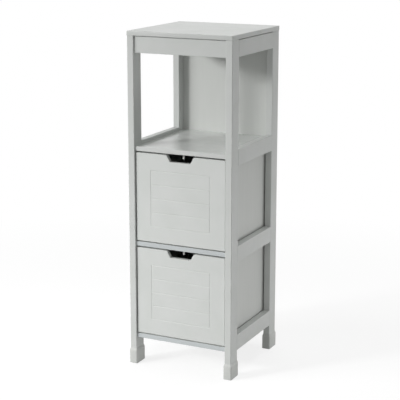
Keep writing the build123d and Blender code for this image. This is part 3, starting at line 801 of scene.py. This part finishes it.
def cam_lock(fit):
    """A cam lock about Z, its face up and its mouth along X: a head with a rounded rim and a driver's
    cross, and below it a wall nearly three quarters of the way round the hollow for the bolt's head."""
    sink = cross(fit.cam_cross, fit.cam_cross_width, fit.cam_cross_depth)
    side = np.array([
        (fit.cam_body, -fit.cam_head),
        (fit.cam_body, -RIM_CHAMFER / 2),
        (fit.cam_rim, 0.0),
        (fit.cam_rim, fit.cam_proud * 0.5),
        (fit.cam_rim - RIM_CHAMFER, fit.cam_proud * 0.85),
    ])
    head = headed(side, fit.cam_rim - GUARD, fit.cam_proud, sink)
    mouth_end = CAM_MOUTH / 2
    wall = bent_bar(fit.cam_bore, fit.cam_body, -fit.cam_depth, -fit.cam_head,
                    mouth_end, 360 - mouth_end)
    return joined([head, wall])


def screw_sink(fit):
    """The cross in a screw's head."""
    return cross(fit.screw_cross, fit.screw_cross_width, fit.screw_cross_depth)


def pan_screw(fit):
    """A pan-head screw about Z, its head's underside at zero: a pointed shank and a head whose upper
    seven tenths are rounded."""
    round_over = fit.pan_height * 0.7
    top = arc((fit.pan_radius - round_over, fit.pan_height - round_over), round_over, 0, 75, PAN_STEPS)
    side = np.concatenate([
        [(fit.point_radius, -fit.pan_length)],
        [(fit.pan_shank, -fit.pan_length + fit.pan_point), (fit.pan_shank, 0)],
        [(fit.pan_radius, 0)],
        top,
    ])
    return headed(side, top[-1, 0] - RIM_CHAMFER, fit.pan_height, screw_sink(fit))


def sunk_screw(fit):
    """A countersunk screw about Z, its flat face at zero: a pointed shank, a cone and the face."""
    side = np.array([
        (fit.point_radius, -fit.sunk_length),
        (fit.sunk_shank, -fit.sunk_length + fit.sunk_point),
        (fit.sunk_shank, -fit.sunk_radius + fit.sunk_shank),
        (fit.sunk_radius, -RIM_CHAMFER),
    ])
    return headed(side, fit.sunk_radius - RIM_CHAMFER, 0.0, screw_sink(fit))


def group_at(shell, stands):
    """One shell repeated at every stand, each an origin, an axis out of the wood and a direction."""
    vertices, faces = shell
    return joined([(stood(vertices, *stand), faces) for stand in stands])


def frame_cam_stands(fit):
    """Where the cam locks of the boards and the apron are."""
    stands = []
    for board in BOARDS:
        low, high = corners(board)
        for side in SIDES.values():
            for end in ENDS.values():
                origin = (side * (high[0] - fit.cam_reach), end * fit.board_cam_y, low[2])
                stands.append((origin, (0, 0, -1), (side, 0, 0)))
    low, high = corners("front_apron")
    for side in SIDES.values():
        origin = (side * (high[0] - fit.cam_reach), high[1], low[2] + fit.apron_cam_up)
        stands.append((origin, (0, 1, 0), (side, 0, 0)))
    return stands


def top_cam_stands(fit):
    """Where the cam locks of the top panel are, in the inner faces of the top rails."""
    inner = corners("rail_right_top")[0][0]
    height = corners("top_panel")[0][2] - fit.cam_reach
    return [((side * inner, end * fit.top_cam_y, height), (-side, 0, 0), (0, 0, 1))
            for side in SIDES.values() for end in ENDS.values()]


def drawer_cam_stands(fit, which):
    """Where a drawer's cam locks are, in the inner faces of its sides."""
    low, high = corners(f"{which}_drawer_side_right")
    return [((side * low[0], low[1] + fit.cam_reach, low[2] + up), (-side, 0, 0), (0, -1, 0))
            for side in SIDES.values() for up in (fit.drawer_cam_low, fit.drawer_cam_high)]


class CABINET_OT_cam_locks(bpy.types.Operator):
    """Make the cam locks that draw the boards together"""
    bl_idname = "cabinet.cam_locks"
    bl_label = "Make the cam locks"

    def execute(self, context):
        fit = context.scene.cabinet_fittings
        groups = [
            ("board_cam_locks", FRAME_BODY, frame_cam_stands(fit)),
            ("top_cam_locks", FRAME_BODY, top_cam_stands(fit)),
        ]
        groups += [(f"{which}_drawer_cam_locks", f"{which}_drawer", drawer_cam_stands(fit, which))
                   for which in DRAWERS]
        for node, body, stands in groups:
            shell = group_at(cam_lock(fit), stands)
            make_piece(node, "cast", shell, body, "zinc", sharp=40.0)
        return {"FINISHED"}


class CABINET_OT_screws(bpy.types.Operator):
    """Make the screws of the back sheet and the drawer backs"""
    bl_idname = "cabinet.screws"
    bl_label = "Make the screws"

    def execute(self, context):
        fit = context.scene.cabinet_fittings
        behind = corners("back_panel")[1][1]
        stands = []
        for board in BOARDS:
            low, high = corners(board)
            for side in SIDES.values():
                origin = (side * fit.sheet_screw_x, behind, (low[2] + high[2]) / 2)
                stands.append((origin, (0, 1, 0), (1, 0, 0)))
        make_piece("back_panel_screws", "pan_head", group_at(pan_screw(fit), stands), FRAME_BODY,
                   "plating", sharp=40.0)
        for which in DRAWERS:
            low, high = corners(f"{which}_drawer_back")
            outer = corners(f"{which}_drawer_side_right")[1][0]
            middle = (low[1] + high[1]) / 2
            stands = [((side * outer, middle, low[2] + up), (side, 0, 0), (0, 1, 0))
                      for side in SIDES.values() for up in (fit.screw_low, fit.screw_high)]
            make_piece(f"{which}_drawer_back_screws", "countersunk", group_at(sunk_screw(fit), stands),
                       f"{which}_drawer", "plating", sharp=40.0)
        return {"FINISHED"}


class StageSettings(bpy.types.PropertyGroup):
    """The floor, the lights and the camera."""
    lens: number("Lens", "Focal length on a 36 mm sensor, in mm", 109.35)
    shift: number("Shift", "Vertical shift of the lens", -0.04)
    place: bpy.props.FloatVectorProperty(
        name="Camera place", description="Where the camera stands", default=(1.3754, -2.8368, 1.1930),
        subtype="TRANSLATION", unit="LENGTH")
    turn: number("Turn", "Camera's turn to the left", math.radians(26.076), subtype="ANGLE")
    tilt: number("Tilt", "Camera's tilt down", math.radians(12.805), subtype="ANGLE")
    floor_radius: length("Floor radius", "Radius of the round floor", 9000.0)
    floor_tone: colour("Floor", "The tone of the floor that light bounces from", "#C6C6C5")
    floor_white: colour("Floor, seen", "The tone of the floor that the camera sees in shadow", "#F6F6F6")
    shadow_share: number(
        "Shadow share", "Share of the floor's light and shadow that the camera sees", 0.3, min=0.0, max=1.0)
    floor_lift: number("Floor lift", "Brings the lit floor that the camera sees up to white", 1.1)
    fade_start: length("Fade start", "Distance at which the floor starts to fade", 500.0)
    fade_end: length("Fade end", "Distance at which the floor is pure white", 1600.0)
    ambient: number("Ambient", "Strength of the even light", 0.37)
    key: number("Key", "Power of the front left softbox", 6.9)
    left: number("Left", "Power of the wide left softbox", 8.9)
    side: number("Side", "Power of the low right softbox", 2.9)
    top: number("Top", "Power of the softbox overhead", 1.35)
    rear: number("Rear", "Power of the low softbox behind", 6.0)


# Each softbox's place, the point that it faces, its width and height, and the spread of its light in
# degrees, where under 180 is a grid on its front
SOFTBOXES = {
    "key": ((-2.45, -3.1, 1.8), (0, -0.15, 0), (0.6, 0.45), 56),
    "left": ((-2.95, -2.35, 1.8), (0, 0, -0.2), (1.9, 0.5), 60),
    "side": ((1.15, 0.5, 0.12), (0.15, 0.05, 0.12), (0.7, 0.24), 180),
    "top": ((0.1, 0.3, 2.3), (0, 0, 0.89), (0.9, 0.9), 60),
    "rear": ((-1.2, 2.4, 0.5), (0, 0.1, 0.45), (1.0, 0.5), 180),
}


def softbox(name, power, place, target, size, spread):
    """A rectangular lamp that faces a point, its power in watts and its spread in degrees."""
    lamp = bpy.data.lights.new(name, "AREA")
    lamp.energy = power
    lamp.shape = "RECTANGLE"
    lamp.size, lamp.size_y = size
    lamp.spread = math.radians(spread)
    box = bpy.data.objects.new(name, lamp)
    box.location = place
    direction = np.array(target) - np.array(place)
    turn = math.atan2(direction[1], direction[0]) - math.pi / 2
    rise = math.atan2(direction[2], math.hypot(direction[0], direction[1]))
    box.rotation_euler = (math.pi / 2 + rise, 0, turn)
    bpy.context.scene.collection.objects.link(box)


def seen_directly(tree):
    """One where the camera looks straight, through glass or in a mirror, and zero elsewhere."""
    path = add(tree, "ShaderNodeLightPath")
    first = add(tree, "ShaderNodeMath", {
        0: path.outputs["Is Camera Ray"], 1: path.outputs["Is Glossy Ray"]}, operation="MAXIMUM")
    either = add(tree, "ShaderNodeMath", {
        0: first.outputs["Value"], 1: path.outputs["Is Transmission Ray"]}, operation="MAXIMUM")
    return either.outputs["Value"]


def floor_surface(tree, place, stage):
    """Matt studio floor. Light bounces from a pale grey; the eye sees mostly white, with a share of the
    floor's own shading so that the cabinet's shadow stays. Far out it fades to pure white."""
    far = add(tree, "ShaderNodeVectorMath", {0: place.outputs["Object"]}, operation="LENGTH")
    span = {"Value": far.outputs["Value"], "From Min": stage.fade_start, "From Max": stage.fade_end}
    bounced = add(tree, "ShaderNodeBsdfDiffuse", {"Color": opaque(stage.floor_tone)})
    fade = add(tree, "ShaderNodeMapRange", {**span, "To Min": 1 - stage.shadow_share})
    shaded = add(tree, "ShaderNodeBsdfDiffuse", {"Color": opaque(stage.floor_white)})
    lift = add(tree, "ShaderNodeMapRange", {**span, "To Min": stage.floor_lift})
    white = add(tree, "ShaderNodeEmission", {"Strength": lift.outputs["Result"]})
    looks = add(tree, "ShaderNodeMixShader", {
        0: fade.outputs["Result"], 1: shaded.outputs["BSDF"], 2: white.outputs["Emission"]})
    return add(tree, "ShaderNodeMixShader", {
        0: seen_directly(tree), 1: bounced.outputs["BSDF"], 2: looks.outputs["Shader"]})


def white_surroundings(stage):
    """A world that lights evenly at the ambient strength and looks pure white."""
    world = bpy.data.worlds.new("studio")
    bpy.context.scene.world = world
    world.use_nodes = True
    tree = world.node_tree
    tree.nodes.clear()
    output = add(tree, "ShaderNodeOutputWorld")
    strength = add(tree, "ShaderNodeMapRange", {
        "Value": seen_directly(tree), "To Min": stage.ambient, "To Max": 1.0})
    sky = add(tree, "ShaderNodeBackground", {
        "Color": opaque((1, 1, 1)), "Strength": strength.outputs["Result"]})
    tree.links.new(sky.outputs["Background"], output.inputs["Surface"])


class CABINET_OT_stage(bpy.types.Operator):
    """Make the floor, the lights and the camera"""
    bl_idname = "cabinet.stage"
    bl_label = "Make the stage"

    def execute(self, context):
        stage = context.scene.cabinet_stage
        ring = turned(np.array([(stage.floor_radius, 0)]), FLOOR_SIDES)[0]
        mesh = bpy.data.meshes.new("floor")
        mesh.from_pydata(ring.tolist(), [], [list(range(FLOOR_SIDES))])
        mesh.materials.append(new_material("matt_studio_floor", floor_surface, stage))
        floor = bpy.data.objects.new("floor", mesh)
        context.scene.collection.objects.link(floor)
        white_surroundings(stage)
        for name, settings in SOFTBOXES.items():
            softbox(f"{name}_softbox", getattr(stage, name), *settings)
        lens = bpy.data.cameras.new("camera")
        lens.lens = stage.lens
        lens.sensor_width = 36.0
        lens.shift_y = stage.shift
        camera = bpy.data.objects.new("camera", lens)
        camera.location = stage.place
        camera.rotation_euler = (math.pi / 2 - stage.tilt, 0, stage.turn)
        context.scene.collection.objects.link(camera)
        context.scene.camera = camera
        context.scene.view_settings.view_transform = "Standard"
        return {"FINISHED"}


STEPS = (
    CABINET_OT_finish_nodes,
    CABINET_OT_top_panel,
    CABINET_OT_drawer_fronts,
    CABINET_OT_foot_caps,
    CABINET_OT_stop_pegs,
    CABINET_OT_cam_locks,
    CABINET_OT_screws,
    CABINET_OT_stage,
)
GROUPS = {
    "cabinet_sizes": CabinetSizes,
    "cabinet_fittings": FittingSizes,
    "cabinet_finish": CabinetFinish,
    "cabinet_stage": StageSettings,
}


class CABINET_PT_panel(bpy.types.Panel):
    """The cabinet's steps and settings"""
    bl_idname = "CABINET_PT_panel"
    bl_label = "Bathroom floor cabinet"
    bl_space_type = "VIEW_3D"
    bl_region_type = "UI"
    bl_category = "Cabinet"

    def draw(self, context):
        for step in STEPS:
            self.layout.operator(step.bl_idname)
        for group in GROUPS:
            settings = getattr(context.scene, group)
            box = self.layout.box()
            for name in settings.bl_rna.properties.keys():
                if name not in ("rna_type", "name"):
                    box.prop(settings, name)


def register():
    """Adds the settings, the steps and the panel."""
    for kind in (*GROUPS.values(), *STEPS, CABINET_PT_panel):
        bpy.utils.register_class(kind)
    for name, kind in GROUPS.items():
        setattr(bpy.types.Scene, name, bpy.props.PointerProperty(type=kind))


def unregister():
    """Takes them away again."""
    for name in GROUPS:
        delattr(bpy.types.Scene, name)
    for kind in reversed((*GROUPS.values(), *STEPS, CABINET_PT_panel)):
        bpy.utils.unregister_class(kind)


def main():
    """Runs every step in order."""
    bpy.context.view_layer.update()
    register()
    for step in STEPS:
        group, name = step.bl_idname.split(".")
        getattr(getattr(bpy.ops, group), name)()


if __name__ == "__main__":
    main()
